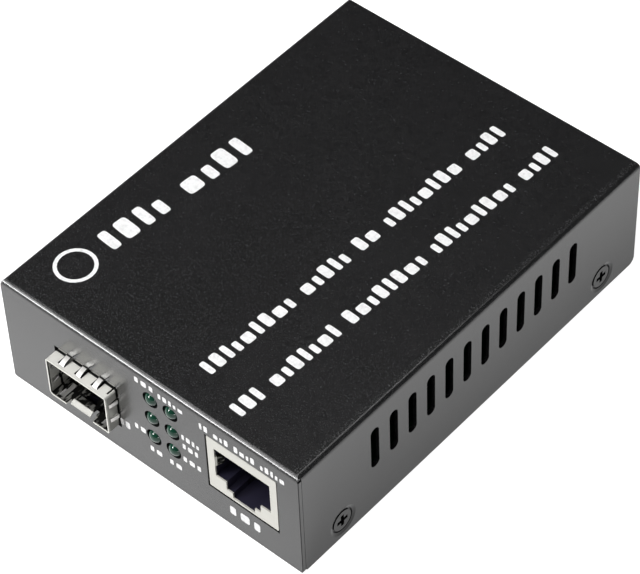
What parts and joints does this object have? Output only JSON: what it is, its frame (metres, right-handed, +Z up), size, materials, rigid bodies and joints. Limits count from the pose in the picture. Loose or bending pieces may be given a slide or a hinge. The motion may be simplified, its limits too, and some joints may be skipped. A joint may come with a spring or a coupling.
{
  "type": "fibre media converter",
  "caption": "Small black steel box that joins an optical module cage to a shielded copper network jack, with a block of status lamps and a barrel power inlet at the back.",
  "frame": {"origin": "centre of the case's underside, on the surface that the part stands on", "axes": "+X right as seen by someone who faces the front panel, +Y from the front panel to the back, +Z up"},
  "size_m": [0.07, 0.0968, 0.026],
  "materials": {
    "case_paint": "fine-textured black powder coat",
    "board": "green solder mask",
    "nickel": "nickel plate",
    "cage_metal": "bright nickel plate",
    "jack_tin": "satin tin plate",
    "black_moulding": "black moulding",
    "contact_gold": "gold flash",
    "chip_epoxy": "moulded epoxy",
    "ferrite": "grey ferrite",
    "capacitor_can": "sleeved aluminium can",
    "ceramic": "fired ceramic",
    "lamp_green": "dark green diffused lens, unlit"
  },
  "bodies": {
    "root": {"top_cover": "case_paint", "base_plate": "case_paint", "case_screws": "case_paint", "main_board": "board", "board_standoffs": "nickel", "board_screws": "nickel", "sfp_cage": "cage_metal", "sfp_spring_fingers": "cage_metal", "sfp_connector": "black_moulding", "sfp_contacts": "contact_gold", "jack_shield": "jack_tin", "jack_housing": "black_moulding", "jack_contacts": "contact_gold", "led_holder": "black_moulding", "led_leads": "nickel", "dc_inlet_body": "black_moulding", "dc_inlet_pin": "nickel", "dc_inlet_contact": "nickel", "converter_chip": "chip_epoxy", "poe_controller": "chip_epoxy", "line_transformer": "chip_epoxy", "line_transformer_leads": "nickel", "power_inductor": "ferrite", "bulk_capacitors": "capacitor_can", "clock_crystal": "nickel", "input_fuse": "ceramic", "ceramic_capacitors": "ceramic", "led_1": "lamp_green", "led_2": "lamp_green", "led_3": "lamp_green", "led_4": "lamp_green", "led_5": "lamp_green", "led_6": "lamp_green"}
  },
  "joints": []
}
